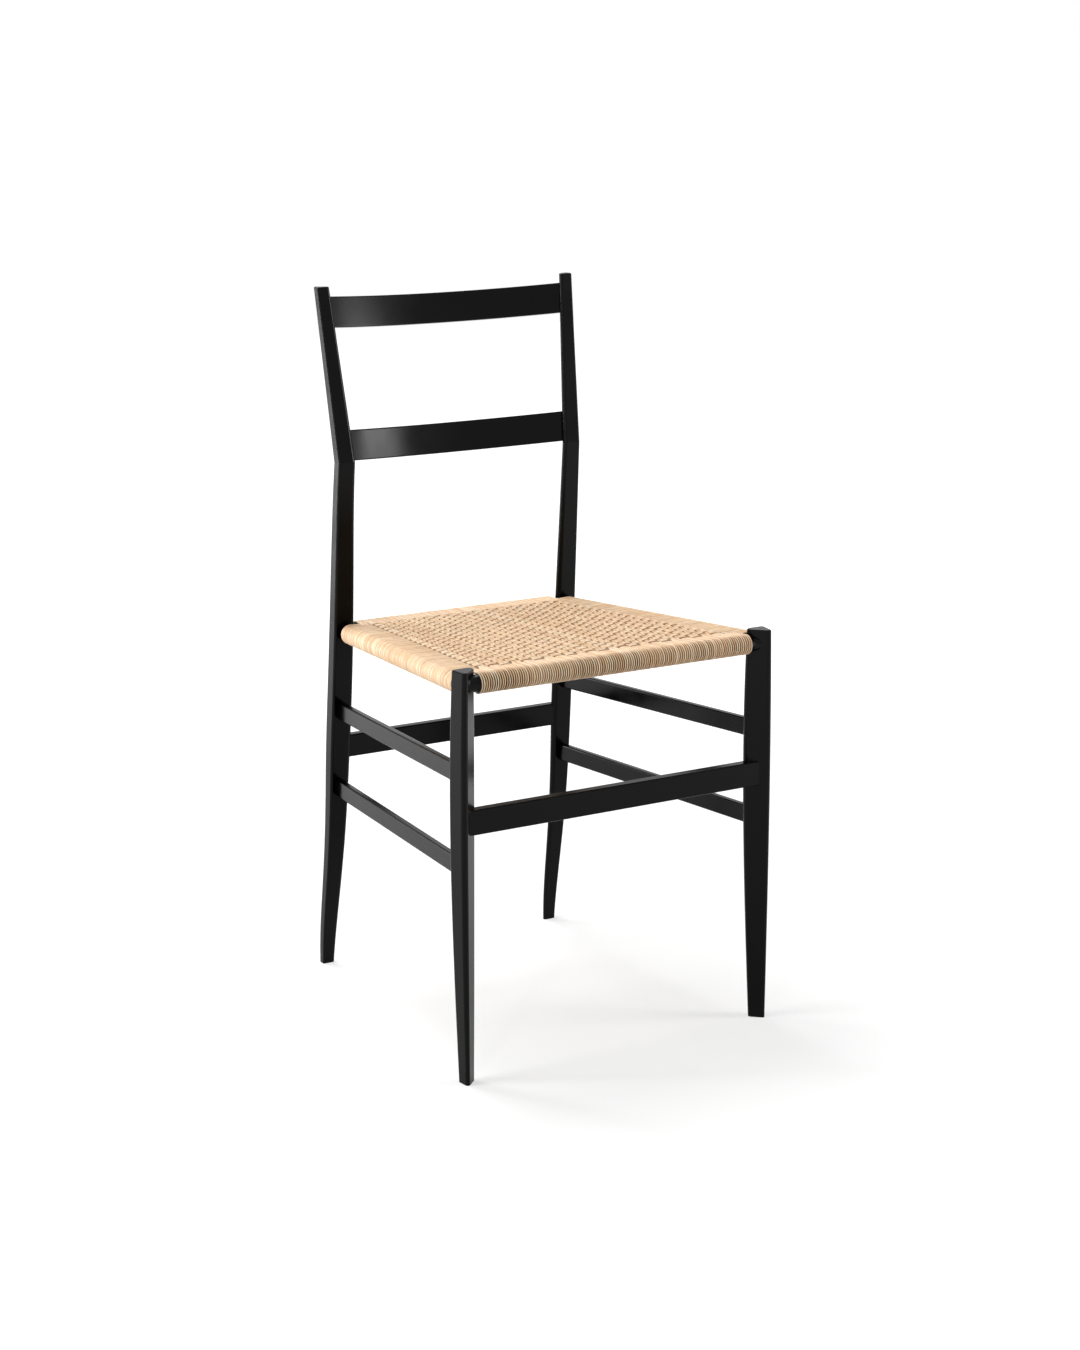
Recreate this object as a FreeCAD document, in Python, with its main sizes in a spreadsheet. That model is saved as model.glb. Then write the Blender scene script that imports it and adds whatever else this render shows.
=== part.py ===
import FreeCAD, Part

import math
import os

import Sketcher

# A light side chair in millimetres: +Z up, the front towards -Y, +X to the right when looking
# along +Y, and the origin on the floor under the middle of the chair.
# The left half is modelled, and the right half mirrors it.

SIZES = {
    # Whole chair: from the front edge of the front feet to the back edge of the rear feet.
    "foot_depth": 432.4,
    "overall_height": 830,
    # Front leg: how far it stands above the seat rail, its centre line, its front edge and
    # its section at four heights.
    "front_leg_rise": 16.4,
    "front_foot_half_span": 192.0,
    "front_top_half_span": 188.8,
    "front_edge_lean": 2.1,
    "front_foot_width": 16.9,
    "front_foot_thickness": 16.0,
    "front_calf_height": 140,
    "front_calf_width": 23.2,
    "front_calf_thickness": 22.0,
    "front_swell_height": 300,
    "front_swell_width": 27.0,
    "front_swell_thickness": 25.8,
    "front_top_width": 23.9,
    "front_top_thickness": 22.9,
    "front_nose_radius_share": 0.175,
    "front_inner_radius_share": 0.233,
    "front_outer_radius_share": 0.117,
    "front_nose_offset_share": 0.25,
    # Rear leg: its centre line, with a soft bend low down and a knee under the back.
    "rear_foot_half_span": 158.2,
    "rear_swell_half_span": 153.2,
    "rear_knee_half_span": 151.7,
    "rear_top_half_span": 162.3,
    "rear_bend_setback": 184.4,
    "rear_knee_setback": 149.4,
    "rear_top_setback": 180.1,
    "rear_foot_width": 15.3,
    "rear_foot_thickness": 11.3,
    "rear_ankle_height": 110,
    "rear_ankle_width": 20.7,
    "rear_ankle_thickness": 15.2,
    "rear_bend_height": 190,
    "rear_bend_width": 23.5,
    "rear_bend_thickness": 17.2,
    "rear_shin_share": 0.5,
    "rear_shin_width": 25.9,
    "rear_shin_thickness": 19.0,
    "rear_swell_height": 340,
    "rear_swell_width": 26.8,
    "rear_swell_thickness": 19.6,
    "rear_thigh_share": 0.5,
    "rear_thigh_width": 25.0,
    "rear_thigh_thickness": 18.2,
    "rear_post_height": 200,
    "rear_knee_width": 21.9,
    "rear_knee_thickness": 16.0,
    "rear_top_width": 15.8,
    "rear_top_thickness": 11.5,
    "rear_round_radius_share": 0.25,
    "rear_arris_radius_share": 0.138,
    "leg_end_bevel": 1.0,
    # Seat rails: turned bars whose axes lie in one plane that slopes to the back.
    "seat_front_height": 446.2,
    "seat_fall": 21,
    "front_rail_inset": 16.2,
    "side_rail_outset": 1.2,
    "side_rail_inset": 4.5,
    "rail_radius": 10.4,
    "rail_neck_radius": 7.5,
    "front_neck_radius": 9.0,
    "rail_neck_length": 10.6,
    "rail_taper_length": 4,
    "rail_tenon_width": 6.5,
    "rail_tenon_height": 5.6,
    "rail_tenon_lift": 3.6,
    "side_rail_short": 5,
    # Cane seat: strands wound on the rails and a woven panel between them.
    "cane_thickness": 1.2,
    "front_wrap_half_length": 174.5,
    "rear_wrap_half_length": 134,
    "side_wrap_front_gap": 11.5,
    "side_wrap_rear_gap": 18,
    "panel_thickness": 4.5,
    "panel_drop": 0.9,
    "panel_corner_gap": 13,
    # Woven field inside the plain borders: slanting twill ribs.
    "field_end_margin": 21,
    "field_width_share": 0.92,
    "twill_angle_degrees": 40,
    "twill_pitch": 10.6,
    "twill_gap": 0.8,
    "twill_height": 1.2,
    # Stretchers.
    "front_stretcher_level": 295,
    "front_stretcher_height": 28.4,
    "front_stretcher_thickness": 13,
    "rear_stretcher_level": 283.5,
    "rear_stretcher_height": 27.6,
    "rear_stretcher_thickness": 12,
    "rear_stretcher_advance": 1.5,
    "upper_side_front_level": 346,
    "upper_side_rear_level": 329,
    "lower_side_front_level": 242.0,
    "lower_side_rear_level": 233,
    "side_stretcher_height": 21.0,
    "side_stretcher_thickness": 8.6,
    "stretcher_edge_radius": 2,
    # Back slats: bent to an arc and leaning back with the posts.
    "upper_slat_drop": 29.2,
    "slat_spacing": 152,
    "slat_height": 35.8,
    "slat_thickness": 8.5,
    "slat_bow": 30,
    "slat_cant_degrees": 12.5,
    "slat_edge_radius": 1.6,
    "slat_setback": 1.0,
    # Joints.
    "tenon_shoulder": 1.8,
    "cross_end_past": 6,
    "joint_clearance": 0.1,
}

doc = FreeCAD.newDocument("side_chair")
sheet = doc.addObject("Spreadsheet::Sheet", "size")
for row, (alias, number) in enumerate(SIZES.items(), start=1):
    sheet.set(f"A{row}", alias)
    sheet.set(f"B{row}", str(number))
    sheet.setAlias(f"B{row}", alias)
doc.recompute()


# Heights that follow from others.
FRONT_LEG_TOP = "(size.seat_front_height + size.front_leg_rise)"
SEAT_REAR = "(size.seat_front_height - size.seat_fall)"
KNEE = "(size.overall_height - size.rear_post_height)"
SHIN_RUN = "(size.rear_swell_height - size.rear_bend_height)"
SHIN = f"(size.rear_bend_height + size.rear_shin_share * {SHIN_RUN})"
THIGH = f"(size.rear_swell_height + size.rear_thigh_share * ({KNEE} - size.rear_swell_height))"
UPPER_SLAT = "(size.overall_height - size.upper_slat_drop)"
LOWER_SLAT = f"({UPPER_SLAT} - size.slat_spacing)"


def worth(text):
    """The present value of an expression on the sheet's sizes."""
    return float(sheet.evalExpression(text))


def line(at, low, low_value, high, high_value):
    """An expression for the value at a height on a straight run between two others."""
    return f"({low_value} + ({high_value} - {low_value}) * ({at} - {low}) / ({high} - {low}))"


def front_leg_x(at):
    return line(at, "0", "size.front_foot_half_span", FRONT_LEG_TOP, "size.front_top_half_span")


def front_leg_y(at, thickness):
    """The middle of the leg's thickness, behind the straight front edge."""
    edge = f"size.front_edge_lean * {at} / {FRONT_LEG_TOP} - size.foot_depth / 2"
    return f"({edge} + {thickness} / 2)"


def rear_leg_x(at):
    return line(at, "0", "size.rear_foot_half_span", "size.rear_swell_height", "size.rear_swell_half_span")


def rear_thigh_x(at):
    low = ("size.rear_swell_height", "size.rear_swell_half_span")
    return line(at, *low, KNEE, "size.rear_knee_half_span")


def rear_post_x(at):
    low = (KNEE, "size.rear_knee_half_span")
    return line(at, *low, "size.overall_height", "size.rear_top_half_span")


def rear_foot_y(at):
    foot = "(size.foot_depth / 2 - size.rear_foot_thickness / 2)"
    return line(at, "0", foot, "size.rear_bend_height", "size.rear_bend_setback")


def rear_leg_y(at):
    low = ("size.rear_bend_height", "size.rear_bend_setback")
    return line(at, *low, KNEE, "size.rear_knee_setback")


def rear_post_y(at):
    low = (KNEE, "size.rear_knee_setback")
    return line(at, *low, "size.overall_height", "size.rear_top_setback")


def origin_part(body, role):
    """One of a body's own origin planes or axes."""
    return next(item for item in body.Origin.OriginFeatures if item.Role == role)


def new_sketch(body, name, role):
    sketch = body.newObject("Sketcher::SketchObject", name)
    sketch.AttachmentSupport = [(origin_part(body, role), "")]
    sketch.MapMode = "FlatFace"
    return sketch


def bind(sketch, kind, *where, text):
    """Adds a dimension to a sketch and ties it to an expression."""
    index = sketch.addConstraint(Sketcher.Constraint(kind, *where, worth(text)))
    sketch.setExpression(f"Constraints[{index}]", text)


def rounded_outline(sketch, corners):
    """A closed outline of straight sides, tangent to a round at each corner.

    Each corner is the centre and radius of its round, and they run anticlockwise.
    """
    rounds = [tuple(worth(text) for text in corner) for corner in corners]
    count = len(rounds)
    normals = []
    for index, (x, y, radius) in enumerate(rounds):
        next_x, next_y, next_radius = rounds[(index + 1) % count]
        run = math.hypot(next_x - x, next_y - y)
        heading = math.atan2(next_y - y, next_x - x)
        normals.append(heading - math.acos((radius - next_radius) / run))
    for index, (x, y, radius) in enumerate(rounds):
        circle = Part.Circle(FreeCAD.Vector(x, y, 0), FreeCAD.Vector(0, 0, 1), radius)
        start = normals[index - 1]
        stop = normals[index]
        sketch.addGeometry(Part.ArcOfCircle(circle, start, stop))
        next_x, next_y, next_radius = rounds[(index + 1) % count]
        out = FreeCAD.Vector(math.cos(stop), math.sin(stop), 0)
        first = FreeCAD.Vector(x, y, 0) + out * radius
        last = FreeCAD.Vector(next_x, next_y, 0) + out * next_radius
        sketch.addGeometry(Part.LineSegment(first, last))
    for index, (x, y, radius) in enumerate(corners):
        arc = 2 * index
        side = arc + 1
        next_arc = 2 * ((index + 1) % count)
        sketch.addConstraint(Sketcher.Constraint("Tangent", arc, 2, side, 1))
        sketch.addConstraint(Sketcher.Constraint("Tangent", side, 2, next_arc, 1))
        bind(sketch, "DistanceX", -1, 1, arc, 3, text=x)
        bind(sketch, "DistanceY", -1, 1, arc, 3, text=y)
        bind(sketch, "Radius", arc, text=radius)


def front_section(width, thickness):
    """Section of a left front leg: a rounded triangle with its nose to the front.

    The back side is square to the chair, the outer side nearly so, and the
    third side faces the middle of the front rail.
    """
    nose = f"size.front_nose_radius_share * ({thickness})"
    inner = f"size.front_inner_radius_share * ({thickness})"
    outer = f"size.front_outer_radius_share * ({thickness})"
    half_width = f"({width}) / 2"
    half_thickness = f"({thickness}) / 2"
    return [
        (f"0 - size.front_nose_offset_share * ({width})", f"{nose} - {half_thickness}", nose),
        (f"{half_width} - {inner}", f"{half_thickness} - {inner}", inner),
        (f"{outer} - {half_width}", f"{half_thickness} - {outer}", outer),
    ]


def rear_section(width, thickness):
    """Section of a left rear leg: flat to the front and outside, sloped inside and back."""
    soft = f"size.rear_round_radius_share * ({thickness})"
    arris = f"size.rear_arris_radius_share * ({thickness})"
    half_width = f"({width}) / 2"
    half_thickness = f"({thickness}) / 2"
    return [
        (f"{arris} - {half_width}", f"{arris} - {half_thickness}", arris),
        (f"{half_width} - {soft}", f"{soft} - {half_thickness}", soft),
        (f"{soft} - {half_width}", f"{half_thickness} - {soft}", soft),
    ]


def leg_loft(body, name, section, stations, ruled):
    """A length of leg through level sections, each at its height and centre."""
    sketches = []
    for index, (height, x, y, width, thickness) in enumerate(stations):
        sketch = new_sketch(body, f"{name}_{index}", "XY_Plane")
        sketch.setExpression("AttachmentOffset.Base.x", f"0 - {x}")
        sketch.setExpression("AttachmentOffset.Base.y", y)
        sketch.setExpression("AttachmentOffset.Base.z", height)
        rounded_outline(sketch, section(width, thickness))
        sketches.append(sketch)
    loft = body.newObject("PartDesign::AdditiveLoft", name)
    loft.Profile = sketches[0]
    loft.Sections = sketches[1:]
    loft.Ruled = ruled
    return loft


def front_leg_blank():
    """The front leg before its mortises: swelling to the stretchers, slim at the foot."""
    body = doc.addObject("PartDesign::Body", "front_leg_blank")
    shoulder = f"({FRONT_LEG_TOP} - size.leg_end_bevel)"
    names = [("0", "foot"), ("size.front_calf_height", "calf"), ("size.front_swell_height", "swell")]
    stations = []
    for height, name in names:
        width = f"size.front_{name}_width"
        thickness = f"size.front_{name}_thickness"
        stations.append((height, front_leg_x(height), front_leg_y(height, thickness), width, thickness))
    width = "size.front_top_width"
    thickness = "size.front_top_thickness"
    centre = (front_leg_x(shoulder), front_leg_y(shoulder, thickness))
    stations.append((shoulder, *centre, width, thickness))
    leg_loft(body, "front_leg_shaft", front_section, stations, False)
    small = [f"({side} - 2 * size.leg_end_bevel)" for side in (width, thickness)]
    cap = [stations[-1], (FRONT_LEG_TOP, *centre, *small)]
    leg_loft(body, "front_leg_cap", front_section, cap, True)
    return body


def rear_leg_blank():
    """The rear leg before its mortises, with the back's posts above the knee."""
    body = doc.addObject("PartDesign::Body", "rear_leg_blank")

    def station(height, x, y, name):
        return (height, x(height), y(height), f"size.rear_{name}_width", f"size.rear_{name}_thickness")

    lower = [
        station("0", rear_leg_x, rear_foot_y, "foot"),
        station("size.rear_ankle_height", rear_leg_x, rear_foot_y, "ankle"),
        station("size.rear_bend_height", rear_leg_x, rear_leg_y, "bend"),
        station(SHIN, rear_leg_x, rear_leg_y, "shin"),
        station("size.rear_swell_height", rear_leg_x, rear_leg_y, "swell"),
        station(THIGH, rear_thigh_x, rear_leg_y, "thigh"),
        station(KNEE, rear_thigh_x, rear_leg_y, "knee"),
    ]
    leg_loft(body, "rear_leg_shaft", rear_section, lower, False)
    shoulder = "(size.overall_height - size.leg_end_bevel)"
    top = station(shoulder, rear_post_x, rear_post_y, "top")
    leg_loft(body, "rear_leg_post", rear_section, [lower[-1], top], True)
    small = [f"({side} - 2 * size.leg_end_bevel)" for side in top[3:]]
    cap = [top, ("size.overall_height", top[1], top[2], *small)]
    leg_loft(body, "rear_leg_cap", rear_section, cap, True)
    return body


def mirrored(source, label):
    """The right-hand twin of a left-hand piece."""
    twin = doc.addObject("Part::Mirroring", label)
    twin.Source = source
    twin.Normal = FreeCAD.Vector(1, 0, 0)
    twin.Label = label
    return twin


def compound(pieces, label):
    group = doc.addObject("Part::Compound", label)
    group.Links = pieces
    return group


def cut(base, tool, label):
    result = doc.addObject("Part::Cut", label)
    result.Base = base
    result.Tool = tool
    result.Label = label
    return result


def fused(base, tool, label):
    result = doc.addObject("Part::Fuse", label)
    result.Base = base
    result.Tool = tool
    result.Refine = True
    result.Label = label
    return result


class Run:
    """A straight run from one point to another, whose local X axis lies along it."""

    def __init__(self, start, end):
        self.start = start
        self.steps = [f"(({last}) - ({first}))" for first, last in zip(start, end)]
        dx, dy, dz = self.steps
        flat = f"sqrt({dx}^2 + {dy}^2)"
        self.length = f"sqrt({dx}^2 + {dy}^2 + {dz}^2)"
        self.yaw = f"atan2({dy}; {dx})"
        self.pitch = f"atan2({dz}; {flat})"

    def place(self, along="0", turned="0 deg"):
        """The frame at a distance along the run, turned about its level cross axis."""
        spots = [
            f"{first} + {step} * ({along}) / {self.length}"
            for first, step in zip(self.start, self.steps)
        ]
        return f"placement(vector({'; '.join(spots)}); rotation({self.yaw}; {turned} - {self.pitch}; 0))"


def padded_bar(name, run, width, height, radius, past):
    """A bar of rounded rectangular section that runs a little past both ends."""
    body = doc.addObject("PartDesign::Body", name)
    sketch = new_sketch(body, f"{name}_section", "YZ_Plane")
    x = f"({width} / 2 - {radius})"
    y = f"({height} / 2 - {radius})"
    signs = [(-1, -1), (1, -1), (1, 1), (-1, 1)]
    rounded_outline(sketch, [(f"{a} * {x}", f"{b} * {y}", radius) for a, b in signs])
    pad = body.newObject("PartDesign::Pad", f"{name}_pad")
    pad.Profile = sketch
    pad.setExpression("Length", f"{run.length} + 2 * {past}")
    body.setExpression("Placement", run.place(along=f"0 - {past}"))
    return body


def tenon_bar(name, run, width, height, lift, growth):
    """A square-cut bar from end to end, for a pair of tenons or, grown, for their mortises."""
    box = doc.addObject("Part::Box", name)
    box.setExpression("Length", f"{run.length} + 2 * {growth}")
    box.setExpression("Width", f"{width} + 2 * {growth}")
    box.setExpression("Height", f"{height} + 2 * {growth}")
    corner = f"vector(0 - {growth}; 0 - {width} / 2 - {growth}; {lift} - {height} / 2 - {growth})"
    box.setExpression("Placement", f"{run.place()} * placement({corner}; rotation(0; 0; 0))")
    return box


def stretcher(label, run, width, height, legs, past):
    """A bar coped to the legs, with tenons in to their centre lines, and its mortises."""
    bar = padded_bar(f"{label}_bar", run, width, height, "size.stretcher_edge_radius", past)
    small = [f"({side} - 2 * size.tenon_shoulder)" for side in (width, height)]
    tenons = tenon_bar(f"{label}_tenons", run, *small, "0", "0")
    mortises = tenon_bar(f"{label}_mortises", run, *small, "0", "size.joint_clearance")
    return fused(cut(bar, legs, f"{label}_coped"), tenons, label), mortises


def turned_bar(name, run, profile):
    """A round bar, turned on the run from points at a distance along and a radius."""
    body = doc.addObject("PartDesign::Body", name)
    sketch = new_sketch(body, f"{name}_profile", "XY_Plane")
    spots = [FreeCAD.Vector(worth(x), worth(y), 0) for x, y in profile]
    count = len(spots)
    for index, spot in enumerate(spots):
        sketch.addGeometry(Part.LineSegment(spot, spots[(index + 1) % count]))
    for index, (x, y) in enumerate(profile):
        sketch.addConstraint(Sketcher.Constraint("Coincident", index, 2, (index + 1) % count, 1))
        bind(sketch, "DistanceX", -1, 1, index, 1, text=x)
        bind(sketch, "DistanceY", -1, 1, index, 1, text=y)
    turn = body.newObject("PartDesign::Revolution", f"{name}_turning")
    turn.Profile = sketch
    turn.ReferenceAxis = (sketch, ["H_Axis"])
    turn.Angle = 360
    body.setExpression("Placement", run.place())
    return body


def seat_rail(label, run, legs, pasts, neck, lift):
    """A turned rail with slimmer necks, coped to the legs, and a flat tenon at each end.

    The tenons of the cross rails lie in the upper half and those of the side
    rails in the lower half, so they pass each other inside the leg.
    """
    full = "size.rail_radius"
    reach = "size.rail_neck_length"
    shoulder = f"({reach} + size.rail_taper_length)"
    profile = [
        (f"0 - {pasts[0]}", "0"),
        (f"{run.length} + {pasts[1]}", "0"),
        (f"{run.length} + {pasts[1]}", neck),
        (f"{run.length} - {reach}", neck),
        (f"{run.length} - {shoulder}", full),
        (shoulder, full),
        (reach, neck),
        (f"0 - {pasts[0]}", neck),
    ]
    bar = turned_bar(f"{label}_bar", run, profile)
    tenon = ("size.rail_tenon_width", "size.rail_tenon_height", lift)
    tenons = tenon_bar(f"{label}_tenons", run, *tenon, "0")
    mortises = tenon_bar(f"{label}_mortises", run, *tenon, "size.joint_clearance")
    return fused(cut(bar, legs, f"{label}_coped"), tenons, label), mortises


def cylinder(name, run, radius, begin, length):
    rod = doc.addObject("Part::Cylinder", name)
    rod.setExpression("Radius", radius)
    rod.setExpression("Height", length)
    rod.setExpression("Placement", run.place(along=begin, turned="90 deg"))
    return rod


def wrap(label, run, begin, length):
    """The cane wound on a rail: a sleeve, and the full cylinder that the panel meets."""
    outer = cylinder(f"{label}_outer", run, "size.rail_radius + size.cane_thickness", begin, length)
    bore = cylinder(f"{label}_bore", run, "size.rail_radius", begin, length)
    return cut(outer, bore, label), outer


def bent_bar(name, level, thickness, height, edge_radius, past):
    """A bar bent to an arc between the posts: its section swept round the bow's centre."""
    half = rear_post_x(level)
    bow_radius = f"(({half}^2 + size.slat_bow^2) / (2 * size.slat_bow))"
    sweep = f"(asin({half} / {bow_radius}) + {past} / {bow_radius} * 180 deg / pi)"
    body = doc.addObject("PartDesign::Body", name)
    sketch = new_sketch(body, f"{name}_section", "XZ_Plane")
    x = f"({thickness} / 2 - {edge_radius})"
    y = f"({height} / 2 - {edge_radius})"
    signs = [(-1, -1), (1, -1), (1, 1), (-1, 1)]
    rounded_outline(sketch, [(f"{bow_radius} + {a} * {x}", f"{b} * {y}", edge_radius) for a, b in signs])
    bend = body.newObject("PartDesign::Revolution", f"{name}_bend")
    bend.Profile = sketch
    bend.ReferenceAxis = (sketch, ["V_Axis"])
    bend.Midplane = True
    bend.setExpression("Angle", f"2 * {sweep}")
    spot = f"vector(0; {rear_post_y(level)} + size.slat_setback; {level})"
    lean = f"placement({spot}; rotation(0; 0; 0 - size.slat_cant_degrees))"
    turn = f"placement(vector(0; size.slat_bow - {bow_radius}; 0); rotation(90; 0; 0))"
    body.setExpression("Placement", f"{lean} * {turn}")
    return body


def back_slat(label, level):
    """A bent slat whose whole ends are let in to the posts' centre lines, and its mortises."""
    sides = ("size.slat_thickness", "size.slat_height")
    corner = "size.slat_edge_radius"
    clearance = "size.joint_clearance"
    grown = [f"({side} + 2 * {clearance})" for side in sides]
    slat = bent_bar(label, level, *sides, corner, "0")
    mortises = bent_bar(f"{label}_mortises", level, *grown, f"({corner} + {clearance})", clearance)
    return slat, mortises


def panel_place(run, height):
    """The seat plane's own frame at the front rail's middle, raised by a height."""
    spot = f"vector({'; '.join(run.start)})"
    tilt = f"rotation(0; 0; {run.pitch})"
    return f"placement({spot}; {tilt}) * placement(vector(0; 0; {height}); rotation(0; 0; 0))"


def seat_slab(name, right, thickness, place):
    """A plate symmetric about the seat's middle, from the points of its right half."""
    body = doc.addObject("PartDesign::Body", name)
    sketch = new_sketch(body, f"{name}_outline", "XY_Plane")
    outline = right + [(f"0 - {x}", y) for x, y in reversed(right)]
    spots = [FreeCAD.Vector(worth(x), worth(y), 0) for x, y in outline]
    count = len(spots)
    for index, spot in enumerate(spots):
        sketch.addGeometry(Part.LineSegment(spot, spots[(index + 1) % count]))
    for index, (x, y) in enumerate(outline):
        sketch.addConstraint(Sketcher.Constraint("Coincident", index, 2, (index + 1) % count, 1))
        bind(sketch, "DistanceX", -1, 1, index, 1, text=x)
        bind(sketch, "DistanceY", -1, 1, index, 1, text=y)
    pad = body.newObject("PartDesign::Pad", f"{name}_pad")
    pad.Profile = sketch
    pad.setExpression("Length", thickness)
    body.setExpression("Placement", place)
    return body


def twill_ribs(name, run, half_width, level):
    """Slanting ribs that cover the woven field: one low arc, carried along and repeated."""
    rise = "size.twill_height"
    half = "((size.twill_pitch - size.twill_gap) / 2)"
    radius = f"(({half}^2 + {rise}^2) / (2 * {rise}))"
    body = doc.addObject("PartDesign::Body", name)
    body.AllowCompound = True
    sketch = new_sketch(body, f"{name}_section", "XZ_Plane")
    reach = math.asin(worth(half) / worth(radius))
    centre = FreeCAD.Vector(0, worth(f"{rise} - {radius}"), 0)
    circle = Part.Circle(centre, FreeCAD.Vector(0, 0, 1), worth(radius))
    sketch.addGeometry(Part.ArcOfCircle(circle, math.pi / 2 - reach, math.pi / 2 + reach))
    corner = FreeCAD.Vector(worth(half), 0, 0)
    sketch.addGeometry(Part.LineSegment(-corner, corner))
    sketch.addConstraint(Sketcher.Constraint("Coincident", 0, 2, 1, 1))
    sketch.addConstraint(Sketcher.Constraint("Coincident", 0, 1, 1, 2))
    bind(sketch, "DistanceX", -1, 1, 1, 2, text=half)
    bind(sketch, "DistanceY", -1, 1, 1, 2, text="0")
    bind(sketch, "DistanceY", -1, 1, 1, 1, text="0")
    bind(sketch, "DistanceY", -1, 1, 0, 3, text=f"{rise} - {radius}")
    bind(sketch, "DistanceX", -1, 1, 0, 3, text="0")
    rib = body.newObject("PartDesign::Pad", f"{name}_rib")
    rib.Profile = sketch
    rib.Midplane = True
    rib.setExpression("Length", f"2 * ({run.length} + {half_width})")
    rows = body.newObject("PartDesign::LinearPattern", f"{name}_rows")
    rows.Originals = [rib]
    rows.Direction = (sketch, ["H_Axis"])
    slant = "(size.twill_angle_degrees * 1 deg)"
    wide = f"2 * {half_width} * sin({slant})"
    count = f"floor(({wide} + {run.length} * cos({slant})) / size.twill_pitch)"
    rows.setExpression("Occurrences", f"{count} + 1")
    rows.setExpression("Length", f"{count} * size.twill_pitch")
    body.Tip = rows
    middle = f"placement(vector(0; {run.length} / 2; 0); rotation(size.twill_angle_degrees - 90; 0; 0))"
    start = f"placement(vector(0 - {count} * size.twill_pitch / 2; 0; 0); rotation(0; 0; 0))"
    body.setExpression("Placement", f"{panel_place(run, level)} * {middle} * {start}")
    return body


def woven_panel(label, run, front_half, rear_half, neighbours):
    """The woven cane between the rails: a thin plate that meets the wound cane on each rail.

    Its corners step back from the legs, and its plane is the rails' own, raised. Inside
    plain borders it is sunk, and slanting ribs fill the sunk field.
    """
    length = run.length
    corner = "size.panel_corner_gap"
    near = line(corner, "0", front_half, length, rear_half)
    far = line(f"({length} - size.side_wrap_rear_gap)", "0", front_half, length, rear_half)
    outline = [
        ("size.front_wrap_half_length", "0"),
        ("size.front_wrap_half_length", corner),
        (near, corner),
        (far, f"{length} - size.side_wrap_rear_gap"),
        ("size.rear_wrap_half_length", f"{length} - size.side_wrap_rear_gap"),
        ("size.rear_wrap_half_length", length),
    ]
    top = "(size.rail_radius + size.cane_thickness - size.panel_drop)"
    plate_place = panel_place(run, f"{top} - size.panel_thickness")
    plate = seat_slab(f"{label}_plate", outline, "size.panel_thickness", plate_place)
    margin = "size.field_end_margin"
    wide, narrow = (f"size.field_width_share * size.{end}_wrap_half_length" for end in ("front", "rear"))
    sunk = f"{top} - size.twill_height"
    inside = [(wide, margin), (narrow, f"{length} - {margin}")]
    field = seat_slab(f"{label}_field", inside, "2 * size.twill_height", panel_place(run, sunk))
    ribs = twill_ribs(f"{label}_ribs", run, f"({wide})", sunk)
    kept = doc.addObject("Part::Common", f"{label}_field_ribs")
    kept.Base = ribs
    kept.Tool = field
    ribbed = fused(cut(plate, field, f"{label}_base"), kept, f"{label}_ribbed")
    return cut(ribbed, compound(neighbours, f"{label}_neighbours"), label)


# Legs before their mortises.
front_left = front_leg_blank()
rear_left = rear_leg_blank()
doc.recompute()
front_right = mirrored(front_left, "front_leg_blank_right")
rear_right = mirrored(rear_left, "rear_leg_blank_right")
front_pair = compound([front_left, front_right], "front_leg_blanks")
rear_pair = compound([rear_left, rear_right], "rear_leg_blanks")
left_pair = compound([front_left, rear_left], "left_leg_blanks")

# Seat rails.
front_z = "size.seat_front_height"
rear_z = SEAT_REAR
front_y = "(size.front_rail_inset - size.foot_depth / 2)"
rear_y = rear_leg_y(rear_z)
front_x = front_leg_x(front_z)
rear_x = rear_thigh_x(rear_z)
side_front_x = f"({front_x} + size.side_rail_outset)"
side_rear_x = f"({rear_x} - size.side_rail_inset)"
front_run = Run((f"0 - {front_x}", front_y, front_z), (front_x, front_y, front_z))
rear_run = Run((f"0 - {rear_x}", rear_y, rear_z), (rear_x, rear_y, rear_z))
side_run = Run((f"0 - {side_front_x}", front_y, front_z), (f"0 - {side_rear_x}", rear_y, rear_z))
middle_run = Run(("0", front_y, front_z), ("0", rear_y, rear_z))
cross_pasts = ("size.cross_end_past", "size.cross_end_past")
side_pasts = ("0", "(0 - size.side_rail_short)")
slim = "size.rail_neck_radius"
up = "size.rail_tenon_lift"
down = "(0 - size.rail_tenon_lift)"
front_rail, front_rail_mortises = seat_rail(
    "seat_rail_front", front_run, front_pair, cross_pasts, "size.front_neck_radius", up
)
rear_rail, rear_rail_mortises = seat_rail("seat_rail_rear", rear_run, rear_pair, cross_pasts, slim, up)
left_rail, left_rail_mortises = seat_rail("seat_rail_left", side_run, left_pair, side_pasts, slim, down)

# Stretchers.
swell = "size.front_swell_thickness"


def side_stretcher_run(front_level, rear_level):
    """From the front leg's centre line to the rear leg's, on the left."""
    start = (f"0 - {front_leg_x(front_level)}", front_leg_y(front_level, swell), front_level)
    end = (f"0 - {rear_leg_x(rear_level)}", rear_leg_y(rear_level), rear_level)
    return Run(start, end)


front_level = "size.front_stretcher_level"
rear_level = "size.rear_stretcher_level"
front_reach = front_leg_x(front_level)
rear_reach = rear_leg_x(rear_level)
front_bar_y = front_leg_y(front_level, swell)
rear_bar_y = f"({rear_leg_y(rear_level)} - size.rear_stretcher_advance)"
front_bar, front_bar_mortises = stretcher(
    "stretcher_front",
    Run((f"0 - {front_reach}", front_bar_y, front_level), (front_reach, front_bar_y, front_level)),
    "size.front_stretcher_thickness",
    "size.front_stretcher_height",
    front_pair,
    "size.cross_end_past",
)
rear_bar, rear_bar_mortises = stretcher(
    "stretcher_rear",
    Run((f"0 - {rear_reach}", rear_bar_y, rear_level), (rear_reach, rear_bar_y, rear_level)),
    "size.rear_stretcher_thickness",
    "size.rear_stretcher_height",
    rear_pair,
    "size.cross_end_past",
)
side_bars = []
side_mortises = []
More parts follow.
